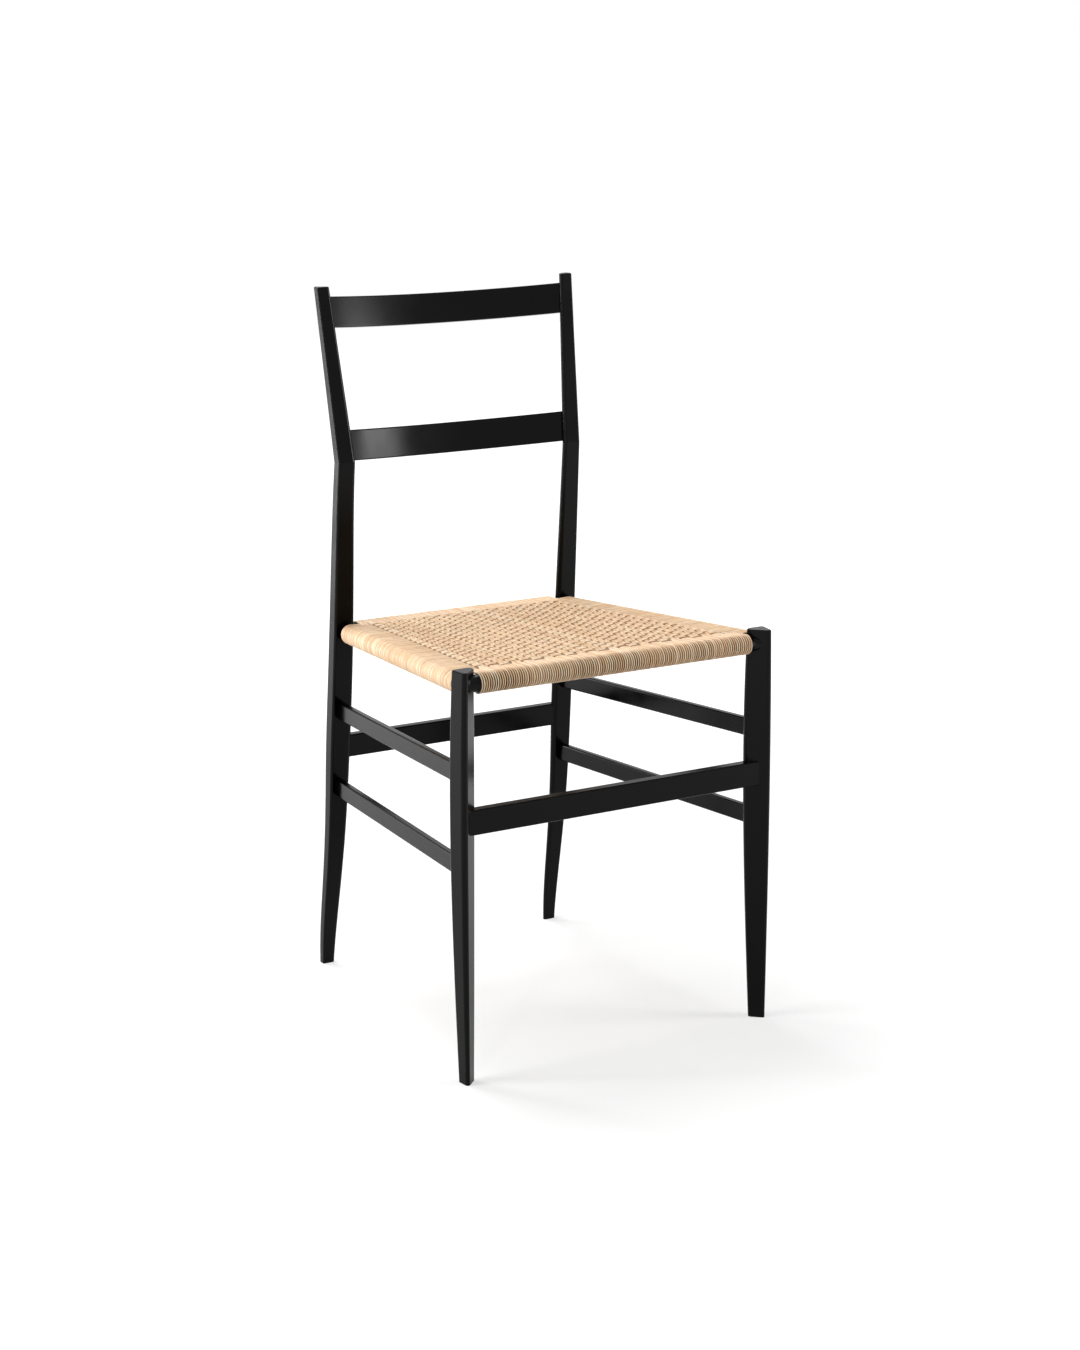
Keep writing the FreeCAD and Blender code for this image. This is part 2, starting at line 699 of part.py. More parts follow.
for tier in ("upper", "lower"):
    tier_run = side_stretcher_run(f"size.{tier}_side_front_level", f"size.{tier}_side_rear_level")
    thickness = "size.side_stretcher_thickness"
    height = "size.side_stretcher_height"
    bar, mortises = stretcher(f"stretcher_{tier}_left", tier_run, thickness, height, left_pair, "0")
    side_bars.append(bar)
    side_bars.append(mirrored(bar, f"stretcher_{tier}_right"))
    side_mortises.append(mortises)

# Back slats.
upper_slat, upper_slat_mortises = back_slat("back_slat_upper", UPPER_SLAT)
lower_slat, lower_slat_mortises = back_slat("back_slat_lower", LOWER_SLAT)

# Legs with their mortises.
front_tools = [front_rail_mortises, left_rail_mortises, front_bar_mortises, *side_mortises]
rear_tools = [rear_rail_mortises, left_rail_mortises, rear_bar_mortises, *side_mortises]
rear_tools += [upper_slat_mortises, lower_slat_mortises]
front_leg = cut(front_left, compound(front_tools, "front_leg_mortises"), "front_leg_left")
rear_leg = cut(rear_left, compound(rear_tools, "rear_leg_mortises"), "rear_leg_left")

# Cane seat.
front_wrap, front_wrap_outer = wrap(
    "seat_wrap_front",
    front_run,
    f"{front_x} - size.front_wrap_half_length",
    "2 * size.front_wrap_half_length",
)
rear_wrap, rear_wrap_outer = wrap(
    "seat_wrap_rear",
    rear_run,
    f"{rear_x} - size.rear_wrap_half_length",
    "2 * size.rear_wrap_half_length",
)
side_length = f"{side_run.length} - size.side_wrap_front_gap - size.side_wrap_rear_gap"
left_wrap, left_wrap_outer = wrap("seat_wrap_left", side_run, "size.side_wrap_front_gap", side_length)
right_wrap = mirrored(left_wrap, "seat_wrap_right")
right_wrap_outer = mirrored(left_wrap_outer, "seat_wrap_right_outer")
right_rail = mirrored(left_rail, "seat_rail_right")
edges = [front_wrap_outer, rear_wrap_outer, left_wrap_outer, right_wrap_outer, left_rail, right_rail]
panel = woven_panel("woven_seat_panel", middle_run, side_front_x, side_rear_x, edges)

nodes = [
    front_leg,
    mirrored(front_leg, "front_leg_right"),
    rear_leg,
    mirrored(rear_leg, "rear_leg_right"),
    upper_slat,
    lower_slat,
    front_rail,
    rear_rail,
    left_rail,
    right_rail,
    front_bar,
    rear_bar,
    *side_bars,
    front_wrap,
    rear_wrap,
    left_wrap,
    right_wrap,
    panel,
]
doc.recompute()

for item in doc.Objects:
    if "Invalid" in item.State or "Error" in item.State:
        raise RuntimeError(f"{item.Label} failed: {item.State}")
for node in nodes:
    if node.Shape.isNull() or not node.Shape.isValid():
        raise RuntimeError(f"{node.Label} has no sound shape")
    if len(node.Shape.Solids) != 1:
        raise RuntimeError(f"{node.Label} is {len(node.Shape.Solids)} solids")

os.makedirs("parts", exist_ok=True)
for node in nodes:
    node.Shape.exportStep(f"parts/{node.Label}.step")
    print(node.Label, round(node.Shape.Volume / 1000, 1), "cm3")
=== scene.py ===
# %% [markdown]
# # A lacquered side chair with a woven cane seat
# The wooden frame comes ready made, piece by piece, at its real size.
# This lesson gives it its finish and weaves its seat, strand by strand.
# Everything is in metres, with +Z up and the front of the chair towards -Y.

# %% Load the frame
import math

import bpy
import numpy as np
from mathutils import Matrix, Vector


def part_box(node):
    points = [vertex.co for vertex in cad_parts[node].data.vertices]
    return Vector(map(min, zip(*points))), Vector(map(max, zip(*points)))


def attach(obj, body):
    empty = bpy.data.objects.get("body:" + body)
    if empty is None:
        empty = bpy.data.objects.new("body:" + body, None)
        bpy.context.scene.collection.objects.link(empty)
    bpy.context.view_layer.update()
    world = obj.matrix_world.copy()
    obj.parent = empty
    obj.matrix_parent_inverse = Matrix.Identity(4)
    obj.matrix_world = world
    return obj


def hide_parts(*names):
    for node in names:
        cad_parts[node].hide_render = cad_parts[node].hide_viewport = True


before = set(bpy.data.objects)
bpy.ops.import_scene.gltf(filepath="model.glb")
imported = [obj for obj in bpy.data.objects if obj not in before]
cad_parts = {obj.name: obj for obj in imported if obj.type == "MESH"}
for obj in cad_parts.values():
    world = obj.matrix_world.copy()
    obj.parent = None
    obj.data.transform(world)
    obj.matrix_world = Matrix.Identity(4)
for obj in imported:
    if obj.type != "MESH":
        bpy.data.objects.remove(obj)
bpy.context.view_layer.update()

MM = 0.001
print("pieces of the frame:", len(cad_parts))

# %% [markdown]
# ## Camera
# The chair is seen from its front left and slightly from above, through a long lens about
# three metres away. A wide lens close by would show as much, but would make the near leg
# look longer than the others. Place, aim and lens were fitted to the edges of the real chair.
# The Standard view shows every colour as it is written, with no film curve over it.

# %% Camera
CAMERA_PLACE = (-1.4812, -2.5318, 1.1301)
CAMERA_TURN = math.radians(-30.7)
CAMERA_DIP = math.radians(14.17)
LENS = 69.57  # in millimetres, as Blender takes it

camera = bpy.data.objects.new("camera", bpy.data.cameras.new("camera"))
camera.data.lens = LENS
camera.location = CAMERA_PLACE
camera.rotation_euler = (math.pi / 2 - CAMERA_DIP, 0, CAMERA_TURN)
bpy.context.scene.collection.objects.link(camera)
bpy.context.scene.camera = camera
bpy.context.scene.view_settings.view_transform = "Standard"
print("camera lens:", LENS, "mm")

# %% [markdown]
# ## Colours and nodes
# Colours are written as they look on a screen, and one function turns them to linear light.
# Another adds a node, sets its inputs and joins it to other nodes, so a material reads as a
# short list. The nodes could be placed by hand in the editor, but a list can be read again.


# %% Helpers for materials
def linear(hex_colour):
    """The linear colour of an sRGB hex value, by the sRGB curve on each channel."""
    shares = [int(hex_colour[place : place + 2], 16) / 255 for place in (1, 3, 5)]
    return (*[c / 12.92 if c <= 0.04045 else ((c + 0.055) / 1.055) ** 2.4 for c in shares], 1.0)


def add(tree, kind, settings=None, **inputs):
    """Adds a node with its settings, and sets or links its inputs.

    An input goes by its name, with underscores for spaces, or by its number, as in _0.
    """
    node = tree.nodes.new(kind)
    for name, value in (settings or {}).items():
        setattr(node, name, value)
    for name, value in inputs.items():
        socket = node.inputs[int(name[1:]) if name[1:].isdigit() else name.replace("_", " ")]
        if isinstance(value, bpy.types.NodeSocket):
            tree.links.new(value, socket)
        else:
            socket.default_value = value
    return node


def new_material(name):
    """A material without nodes, and its tree."""
    material = bpy.data.materials.new(name)
    material.use_nodes = True
    material.node_tree.nodes.clear()
    return material, material.node_tree


print("linear middle grey:", [round(share, 3) for share in linear("#808080")[:3]])

# %% [markdown]
# ## White room
# The chair stands in a white room. Walls that gave as much light as they show would fill
# every shadow, so the world is white for rays that look at it, straight, off a shiny surface
# or through glass, and much dimmer as a light. The Light Path node tells these rays apart.

# %% World
AMBIENT = 0.3


def looking(tree):
    """1 for rays that look at a surface and 0 for its light on others: the largest of three."""
    path = add(tree, "ShaderNodeLightPath").outputs
    either = add(tree, "ShaderNodeMath", {"operation": "MAXIMUM"}, _0=path["Is Camera Ray"],
                 _1=path["Is Glossy Ray"])
    return add(tree, "ShaderNodeMath", {"operation": "MAXIMUM"}, _0=either.outputs[0],
               _1=path["Is Transmission Ray"]).outputs[0]


world = bpy.data.worlds.new("white_studio")
bpy.context.scene.world = world
world.use_nodes = True
sky = world.node_tree
sky.nodes.clear()
strength = add(sky, "ShaderNodeMath", {"operation": "MAXIMUM"}, _0=looking(sky), _1=AMBIENT)
backdrop = add(sky, "ShaderNodeBackground", Color=linear("#FFFFFF"), Strength=strength.outputs[0])
add(sky, "ShaderNodeOutputWorld", Surface=backdrop.outputs[0])
print("light of the room:", AMBIENT)

# %% [markdown]
# ## Paper floor
# The floor is matt white paper that takes the soft shadows of the legs. Under the lamps alone
# it would turn grey away from the chair, so it also glows for rays that look at it: by half
# near the chair, where the shadows have to show, and fully from about two metres on.

# %% Floor
FLOOR_HALF = 6.0
NEAR_GLOW = 0.5
GLOW_START = 0.35
GLOW_FULL = 2.2

floor_mesh = bpy.data.meshes.new("floor")
floor_corners = [(-FLOOR_HALF, -FLOOR_HALF, 0), (FLOOR_HALF, -FLOOR_HALF, 0),
                 (FLOOR_HALF, FLOOR_HALF, 0), (-FLOOR_HALF, FLOOR_HALF, 0)]
floor_mesh.from_pydata(floor_corners, [], [(0, 1, 2, 3)])
floor = bpy.data.objects.new("floor", floor_mesh)
bpy.context.scene.collection.objects.link(floor)

paper, tree = new_material("white_paper_floor")
spot = add(tree, "ShaderNodeTexCoord").outputs["Object"]
away = add(tree, "ShaderNodeVectorMath", {"operation": "LENGTH"}, _0=spot).outputs["Value"]
pool = add(tree, "ShaderNodeMapRange", {"interpolation_type": "SMOOTHSTEP"}, Value=away,
           From_Min=GLOW_START, From_Max=GLOW_FULL, To_Min=NEAR_GLOW, To_Max=1.0)
glow = add(tree, "ShaderNodeMath", {"operation": "MULTIPLY"}, _0=looking(tree),
           _1=pool.outputs[0])
shader = add(tree, "ShaderNodeBsdfPrincipled", Base_Color=linear("#BEBEBE"), Roughness=0.9,
             Specular_IOR_Level=0.1, Emission_Color=linear("#FFFFFF"),
             Emission_Strength=glow.outputs[0])
add(tree, "ShaderNodeOutputMaterial", Surface=shader.outputs[0])
floor_mesh.materials.append(paper)
print("floor:", 2 * FLOOR_HALF, "m wide")

# %% [markdown]
# ## Lamps
# Black lacquer shows the lamps as much as itself. A wide lamp from the left and one from above
# light the cane, and a fill from the right opens the front of the seat. Three narrow, upright
# strips are there for the wood: they draw the soft glow on the slats and on the legs' faces.
# One large lamp would be simpler, but would leave the black pieces without any form.


# %% Lamps
def soft_lamp(name, place, target, width, height, power):
    """A rectangular lamp that faces a point.

    A lamp shines down when it isn't turned. It is tilted by the angle between straight down
    and its aim, and then turned about the upright axis until it faces the point.
    """
    light = bpy.data.lights.new(name, "AREA")
    light.shape = "RECTANGLE"
    light.size = width
    light.size_y = height
    light.energy = power
    lamp = bpy.data.objects.new(name, light)
    lamp.location = place
    aim = np.array(target) - place
    tilt = math.atan2(math.hypot(aim[0], aim[1]), -aim[2])
    lamp.rotation_euler = (tilt, 0, math.atan2(-aim[0], aim[1]))
    bpy.context.scene.collection.objects.link(lamp)


SEAT_CENTRE = (0.0, 0.0, 0.45)
soft_lamp("left_window", (-2.3, 0.2, 1.6), SEAT_CENTRE, 0.8, 0.8, 24)
soft_lamp("overhead", (-0.2, 0.9, 2.6), SEAT_CENTRE, 1.2, 1.2, 40)
soft_lamp("right_fill", (2.0, -1.25, 0.75), (0.0, 0.1, 0.65), 0.6, 1.1, 32)
soft_lamp("left_strip", (-2.2, 0.75, 0.75), (-0.1, 0.1, 0.6), 0.26, 1.4, 20)
soft_lamp("rear_strip", (-1.35, 1.9, 0.6), (-0.2, 0.0, 0.35), 0.4, 1.1, 15)
soft_lamp("front_strip", (-2.1, -2.0, 0.9), (0.0, 0.0, 0.5), 0.1, 1.6, 10)
print("lamps:", [lamp.name for lamp in bpy.data.lights])

# %% [markdown]
# ## Black lacquered wood
# The frame is shaped ash, sprayed with black satin nitrocellulose lacquer. It levels itself as
# it dries, so the surface is smooth, but a faint grain still shows through as shallow lines
# along each piece, and handling leaves the sheen a little uneven.
# The pieces keep the frame's own shapes and only take this finish. Noise that is stretched
# along a piece draws the grain, and a picture of real wood isn't needed under black.

# %% Lacquer
GRAIN_WIDTH = 1.1 * MM
GRAIN_LENGTH = 45 * MM
SHEEN_PATCH = 38 * MM
ORANGE_PEEL = 1.6 * MM
LACQUER_RELIEF = 0.05 * MM


def lacquer(name, along):
    """Satin black nitrocellulose lacquer over ash, with the grain along the given axis.

    To the eye it is near black with soft, long highlights. Dried lacquer has an IOR of 1.49
    and its satin a roughness near 0.2, and its low specular level keeps the black deep.
    """
    material, tree = new_material(name)
    spot = add(tree, "ShaderNodeTexCoord").outputs["Object"]
    scale = [1 / GRAIN_WIDTH] * 3
    scale["XYZ".index(along)] = 1 / GRAIN_LENGTH
    stretched = add(tree, "ShaderNodeMapping", Vector=spot, Scale=scale)
    grain = add(tree, "ShaderNodeTexNoise", Vector=stretched.outputs[0], Scale=1.0, Detail=4.0,
                Roughness=0.55).outputs["Fac"]
    patch = add(tree, "ShaderNodeTexNoise", Vector=spot, Scale=1 / SHEEN_PATCH, Detail=3.0,
                Roughness=0.5).outputs["Fac"]
    peel = add(tree, "ShaderNodeTexNoise", Vector=spot, Scale=1 / ORANGE_PEEL,
               Detail=1.0).outputs["Fac"]
    both = add(tree, "ShaderNodeMath", {"operation": "MULTIPLY"}, _0=grain, _1=patch)
    pale = add(tree, "ShaderNodeMapRange", Value=both.outputs[0], From_Min=0.12, From_Max=0.45)
    colour = add(tree, "ShaderNodeMix", {"data_type": "RGBA"}, _0=pale.outputs[0],
                 _6=linear("#010101"), _7=linear("#030303"))
    rough = add(tree, "ShaderNodeMapRange", Value=patch, From_Min=0.3, From_Max=0.7,
                To_Min=0.16, To_Max=0.24)
    heights = add(tree, "ShaderNodeMath", {"operation": "MULTIPLY_ADD"}, _0=peel, _1=0.35,
                  _2=grain)
    bump = add(tree, "ShaderNodeBump", Strength=0.05, Distance=LACQUER_RELIEF,
               Height=heights.outputs[0])
    shader = add(tree, "ShaderNodeBsdfPrincipled", Base_Color=colour.outputs[2],
                 Roughness=rough.outputs[0], Normal=bump.outputs[0], IOR=1.49,
                 Specular_IOR_Level=0.11)
    add(tree, "ShaderNodeOutputMaterial", Surface=shader.outputs[0])
    return material


# %% [markdown]
# ## Lacquer on the frame
# A grain runs along its piece, so there is one finish for upright pieces, one for cross pieces
# and one for those at the sides. A piece's name tells which it takes. The slight tilt of the
# legs and side pieces doesn't show in so fine a grain, so it isn't followed.

# %% Lacquer on the frame
upright_lacquer = lacquer("black_lacquered_ash_upright", "Z")
cross_lacquer = lacquer("black_lacquered_ash_cross", "X")
side_lacquer = lacquer("black_lacquered_ash_side", "Y")
finishes = {"leg": upright_lacquer, "_front": cross_lacquer, "_rear": cross_lacquer,
            "slat": cross_lacquer}
wooden = {name: node for name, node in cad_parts.items()
          if not name.startswith(("seat_wrap", "woven"))}
for name, node in wooden.items():
    finish = next((paint for key, paint in finishes.items() if key in name), side_lacquer)
    node.data.materials.clear()
    node.data.materials.append(finish)
print("lacquered pieces:", len(wooden))

# %% [markdown]
# ## Cane
# Rattan cane is split and planed to a narrow strip with a rounded, glossy outer skin.
# It is straw coloured, each strip a little different, with fibres and paler and darker
# stretches along its length. Where a strand dives under others, little light reaches it, so the
# colour there is painted shade: a dark brown, and the gloss is taken away.
# The colour follows each strand's own map: one direction runs along the strand in metres, and
# the other holds a number of its own for each strand. An amount of painted shade from 0 to 1 is
# kept at each point, and carries the colour from the skin's to the painted shade's dark brown.

# %% Cane material
STREAK_LENGTH = 15 * MM
FIBRE_LENGTH = 6 * MM
CANE_RELIEF = 0.08 * MM
OWN_TONE = 0.36
TONE_SHIFT = -0.2
STREAK_TONE = 1.05
PAINTED_SHADE_FROM = 0.4
PAINTED_SHADE_FULL = 0.9
SKIN_STOPS = [(0.2, "#C99B6E"), (0.38, "#E0B993"), (0.55, "#E9C9A2"), (0.75, "#FAE9CE")]


def cane():
    """Natural rattan cane: tone = noise along the strand + a share of the strand's own number.

    To the eye it is warm straw with a soft, fine gloss, so its roughness is 0.3 to 0.44.
    """
    material, tree = new_material("natural_rattan_cane")
    place = add(tree, "ShaderNodeUVMap", {"uv_map": "strand"}).outputs["UV"]
    tone = add(tree, "ShaderNodeAttribute", {"attribute_name": "tone"}).outputs["Fac"]
    painted_shade = add(tree, "ShaderNodeAttribute", {"attribute_name": "painted_shade"}).outputs["Fac"]
    stretched = add(tree, "ShaderNodeMapping", Vector=place, Scale=(1 / STREAK_LENGTH, 6.0, 1.0))
    streaks = add(tree, "ShaderNodeTexNoise", Vector=stretched.outputs[0], Scale=1.0, Detail=3.0,
                  Roughness=0.6)
    fibred = add(tree, "ShaderNodeMapping", Vector=place, Scale=(1 / FIBRE_LENGTH, 26.0, 1.0))
    fibres = add(tree, "ShaderNodeTexNoise", Vector=fibred.outputs[0], Scale=1.0,
                 Detail=2.0).outputs["Fac"]
    own = add(tree, "ShaderNodeMath", {"operation": "MULTIPLY_ADD"}, _0=tone, _1=OWN_TONE,
              _2=TONE_SHIFT)
    shade = add(tree, "ShaderNodeMath", {"operation": "MULTIPLY_ADD"}, _0=streaks.outputs["Fac"],
                _1=STREAK_TONE, _2=own.outputs[0])
    skin = add(tree, "ShaderNodeValToRGB", Fac=shade.outputs[0])
    stops = skin.color_ramp.elements
    for _ in SKIN_STOPS[2:]:
        stops.new(0.5)
    for stop, (share, colour) in zip(stops, SKIN_STOPS):
        stop.position = share
        stop.color = linear(colour)
    # Painted shade: deep points turn to the dark brown #5E3413 and lose their gloss.
    painted_shade_mix = add(tree, "ShaderNodeMapRange", Value=painted_shade, From_Min=PAINTED_SHADE_FROM, From_Max=PAINTED_SHADE_FULL,
               To_Min=0.0, To_Max=0.96)
    colour = add(tree, "ShaderNodeMix", {"data_type": "RGBA"}, _0=painted_shade_mix.outputs[0],
                 _6=skin.outputs["Color"], _7=linear("#5E3413"))
    gloss = add(tree, "ShaderNodeMapRange", Value=painted_shade, From_Min=PAINTED_SHADE_FROM, From_Max=PAINTED_SHADE_FULL,
                To_Min=0.3, To_Max=0.02)
    rough = add(tree, "ShaderNodeMapRange", Value=fibres, From_Min=0.3, From_Max=0.7, To_Min=0.3,
                To_Max=0.44)
    bump = add(tree, "ShaderNodeBump", Strength=0.12, Distance=CANE_RELIEF, Height=fibres)
    shader = add(tree, "ShaderNodeBsdfPrincipled", Base_Color=colour.outputs[2],
                 Roughness=rough.outputs[0], Normal=bump.outputs[0], IOR=1.5,
                 Specular_IOR_Level=gloss.outputs[0])
    add(tree, "ShaderNodeOutputMaterial", Surface=shader.outputs[0])
    return material


cane_finish = cane()
print("cane nodes:", len(cane_finish.node_tree.nodes))

# %% [markdown]
# ## The seat's own frame
# The axes of the four seat rails lie in one plane that slopes to the back.
# The weave is worked out on that plane: across is the chair's X, along runs from the front
# rail's axis to the rear rail's, and height is square to the plane. Working in the chair's own
# axes would put the slope into every formula.

# %% Seat plane
STRAND_THICKNESS = 1.2 * MM
wrap_front_low, wrap_front_high = [np.array(corner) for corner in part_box("seat_wrap_front")]
wrap_rear_low, wrap_rear_high = [np.array(corner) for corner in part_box("seat_wrap_rear")]
RAIL_RADIUS = float(wrap_front_high[2] - wrap_front_low[2]) / 2 - STRAND_THICKNESS
front_axis = (wrap_front_low + wrap_front_high) / 2
rear_axis = (wrap_rear_low + wrap_rear_high) / 2
along_step = (rear_axis - front_axis) * (0, 1, 1)
SEAT_LENGTH = float(np.linalg.norm(along_step))
ACROSS = np.array([1.0, 0.0, 0.0])
ALONG = along_step / SEAT_LENGTH
UPWARD = np.cross(ACROSS, ALONG)
ORIGIN = front_axis * (0, 1, 1)
FRONT_HALF = float(wrap_front_high[0])
REAR_HALF = float(wrap_rear_high[0])
print("seat length:", round(SEAT_LENGTH / MM, 1), "mm")
print("half widths:", round(FRONT_HALF / MM, 1), "and", round(REAR_HALF / MM, 1), "mm")


def seat_point(across, along, height):
    """A point of the seat's own frame in the chair's: the origin plus a step on each axis."""
    steps = across[..., None] * ACROSS + along[..., None] * ALONG + height[..., None] * UPWARD
    return ORIGIN + steps


# %% [markdown]
# ## One strand
# A strand is a strip carried along a path. At each place on the path, seven points form its
# section: a flat underside and a skin that is round on the rails and flatter on the seat.
# They are kept as shares of the width, and of the thickness for the round and the flat skin.
# A curve with a bevel would do for one strand, but here all strands of a set are computed
# together, as arrays of strand, place along the path and point of the section.

# %% Strand section
SIDE_SHARES = np.array([-0.5, -0.5, -0.32, 0.0, 0.32, 0.5, 0.5])
ROUND_SHARES = np.array([-0.5, -0.1, 0.32, 0.5, 0.32, -0.1, -0.5])
FLAT_SHARES = np.array([-0.5, 0.34, 0.47, 0.5, 0.47, 0.34, -0.5])
SECTION = len(SIDE_SHARES)


def strand_points(path, side, width, flatness):
    """Skin points: path + side * width share + normal * thickness share.

    path has the shape (strand, place, 3), width (strand, place), and side is one direction.
    The normal is the tangent crossed with the side, so the skin faces away from the rails.
    The thickness shares go from the round section's to the flat one's with the flatness.
    """
    tangent = np.gradient(path, axis=1)
    tangent /= np.linalg.norm(tangent, axis=2, keepdims=True)
    normal = np.cross(tangent, side)
    normal /= np.linalg.norm(normal, axis=2, keepdims=True)
    wide = side * (SIDE_SHARES * width[..., None])[..., None]
    rise = ROUND_SHARES + (FLAT_SHARES - ROUND_SHARES) * flatness[:, None]
    high = normal[:, :, None] * (rise * STRAND_THICKNESS)[..., None]
    return path[:, :, None] + wide + high


def strand_faces(count, places):
    """Corners and sizes of the faces: quads from section to section, and a cap at each end."""
    strand, place, spot = np.meshgrid(
        np.arange(count), np.arange(places - 1), np.arange(SECTION), indexing="ij"
    )
    here = (strand * places + place) * SECTION
    turn = (spot + 1) % SECTION
    quads = np.stack([here + spot, here + SECTION + spot, here + SECTION + turn, here + turn], -1)
    first = (np.arange(count) * places * SECTION)[:, None] + np.arange(SECTION)
    last = first[:, ::-1] + (places - 1) * SECTION
    corners = np.concatenate([quads.ravel(), first.ravel(), last.ravel()])
    sizes = np.concatenate([np.full(quads.size // 4, 4), np.full(2 * count, SECTION)])
    return corners, sizes


print("faces of a strand with 100 places:", len(strand_faces(1, 100)[1]))

# %% [markdown]
# ## Shade and map of a strand
# Light can't reach the gaps between strands, and real gaps are finer than a pixel, so each
# point of a section also keeps an amount of painted shade, which the cane paints dark brown.
# It comes from three things: how far the strand dives under the others, the gap beside it, and
# the rim where a group ends.
# In the map the strands' numbers are set apart, so that no two neighbours share their streaks.

# %% Strand shade
# Painted shade across a section: dark sides for the gaps, a dark rim, and a dark top where a
# strand dives.
GAP_SHADE_SHARES = np.array([0.2, 0.64, 0.0, 0.0, 0.0, 0.64, 0.2])
RIM_SHADE_SHARES = np.array([0.4, 1.0, 0.42, 0.0, 0.0, 0.0, 0.0])
SUNK_SHADE_SHARES = np.array([0.0, 0.8, 1.0, 1.0, 1.0, 0.8, 0.0])
ROUND_GAP_SHADE = 1.55
FLAT_GAP_SHADE_LOSS = 0.7
STRAND_STEP = 3.7
chance = np.random.default_rng(11)


def strand_shade(painted_shade, flatness, rims):
    """Painted shade at each section point, from 0 on top to 1 in a gap: the largest of three.

    The painted shade of each place has the shape (strand, place), and rims (strand, place, 2).
    """
    gap_shade = GAP_SHADE_SHARES * (ROUND_GAP_SHADE - FLAT_GAP_SHADE_LOSS * flatness[:, None])
    rim_shade = rims[..., :1] * RIM_SHADE_SHARES + rims[..., 1:] * RIM_SHADE_SHARES[::-1]
    return np.maximum(np.maximum(painted_shade[..., None] * SUNK_SHADE_SHARES, gap_shade), rim_shade)


def strand_map(path):
    """The strand's own map: the length run so far, and the strand's number plus the side."""
    steps = np.linalg.norm(np.diff(path, axis=1), axis=2)
    run = np.concatenate([np.zeros((len(path), 1)), np.cumsum(steps, axis=1)], axis=1)
    along = np.repeat(run[..., None], SECTION, axis=2)
    number = np.arange(len(path))[:, None, None] * STRAND_STEP
    return np.stack([along, number + np.broadcast_to(SIDE_SHARES, along.shape)], -1)


# %% [markdown]
# ## Many strands in one mesh
# The seat shows well over two hundred lengths of cane. As an object each they would be slow to
# handle, so a set of them is one mesh. It is filled straight from the arrays, and each strand
# keeps a random tone of its own. A set takes the place of the frame's plain panel and sleeves.

# %% Strand mesh
def strand_set(name, path, side, width, painted_shade, flatness, rims, nodes):
    """Many strands as one mesh with their points, faces, map, tone and painted shade."""
    count, places = path.shape[:2]
    verts = strand_points(path, side, width, flatness)
    corners, sizes = strand_faces(count, places)
    mesh = bpy.data.meshes.new(name)
    mesh.vertices.add(verts.size // 3)
    mesh.vertices.foreach_set("co", verts.ravel())
    mesh.loops.add(len(corners))
    mesh.loops.foreach_set("vertex_index", corners)
    mesh.polygons.add(len(sizes))
    mesh.polygons.foreach_set("loop_start", np.concatenate([[0], np.cumsum(sizes)[:-1]]))
    mesh.polygons.foreach_set("use_smooth", np.ones(len(sizes), bool))
    spots = strand_map(path).reshape(-1, 2)
    mesh.uv_layers.new(name="strand").data.foreach_set("uv", spots[corners].ravel())
    tones = np.repeat(chance.random(count), places * SECTION)
    mesh.attributes.new("tone", "FLOAT", "POINT").data.foreach_set("value", tones)
    # Painted shade: how dark each point is painted, from the strand's level, its gaps and its
    # rims.
    deep = strand_shade(painted_shade, flatness, rims)
    mesh.attributes.new("painted_shade", "FLOAT", "POINT").data.foreach_set("value", deep.ravel())
    mesh.validate()
    mesh.update()
    mesh.materials.append(cane_finish)
    piece = bpy.data.objects.new(name, mesh)
    bpy.context.scene.collection.objects.link(piece)
    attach(piece, "root")
    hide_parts(*nodes)
    print(name, count, "strands,", len(corners) - 2 * len(sizes), "triangles")


# %% [markdown]
# ## The pattern
# Weavers call the strands from front to back the warp and those from side to side the weft.
# The warp lies in groups of five and the weft in pairs, called rows here. Each group goes over
# two rows and under one, a row nearer the front at each group to the right. That is a twill,
# and it gives the slanting ribs. The outermost group on each side stays under all these rows.
# Near the front and rear rails nothing is woven, and the groups lie on top of the weft.
# A picture of the pattern on a flat plate would be quicker, but real strands keep the relief
# and the ragged rim of holes. The plan is a table with a line for each group and a column for
# each row.

# %% Weave plan
GROUPS = 25
GROUP_STRANDS = 5
ROWS = 71
ROW_STRANDS = 2
TWILL_ROWS = 3
FRONT_BAND_ROWS = 3
REAR_BAND_ROWS = 2
WEFT_FIRST = 11.5 * MM
WEFT_REAR_MARGIN = 18 * MM
WEFT_LAST = SEAT_LENGTH - WEFT_REAR_MARGIN
ROW_PITCH = (WEFT_LAST - WEFT_FIRST) / ROWS
row_place = WEFT_FIRST + (np.arange(ROWS) + 0.5) * ROW_PITCH

group, row = np.meshgrid(np.arange(GROUPS), np.arange(ROWS), indexing="ij")
over = (row + group) % TWILL_ROWS != 0
over[[0, -1]] = False
over[:, :FRONT_BAND_ROWS] = True
over[:, -REAR_BAND_ROWS:] = True
woven = np.zeros_like(over)
woven[1:-1, FRONT_BAND_ROWS:-REAR_BAND_ROWS] = True
level = np.where(over, 1.0, -1.0)
print("row pitch:", round(ROW_PITCH / MM, 2), "mm, crossings on top:", int((over & woven).sum()))

# %% [markdown]
# ## Heights of the weave
# A strand lies one layer above or below the weave's middle, and bulges a little where it
# floats over others. By hand, no two floats bulge alike, so each has a height of its own.
# Near a rail the weave rises to the winding.

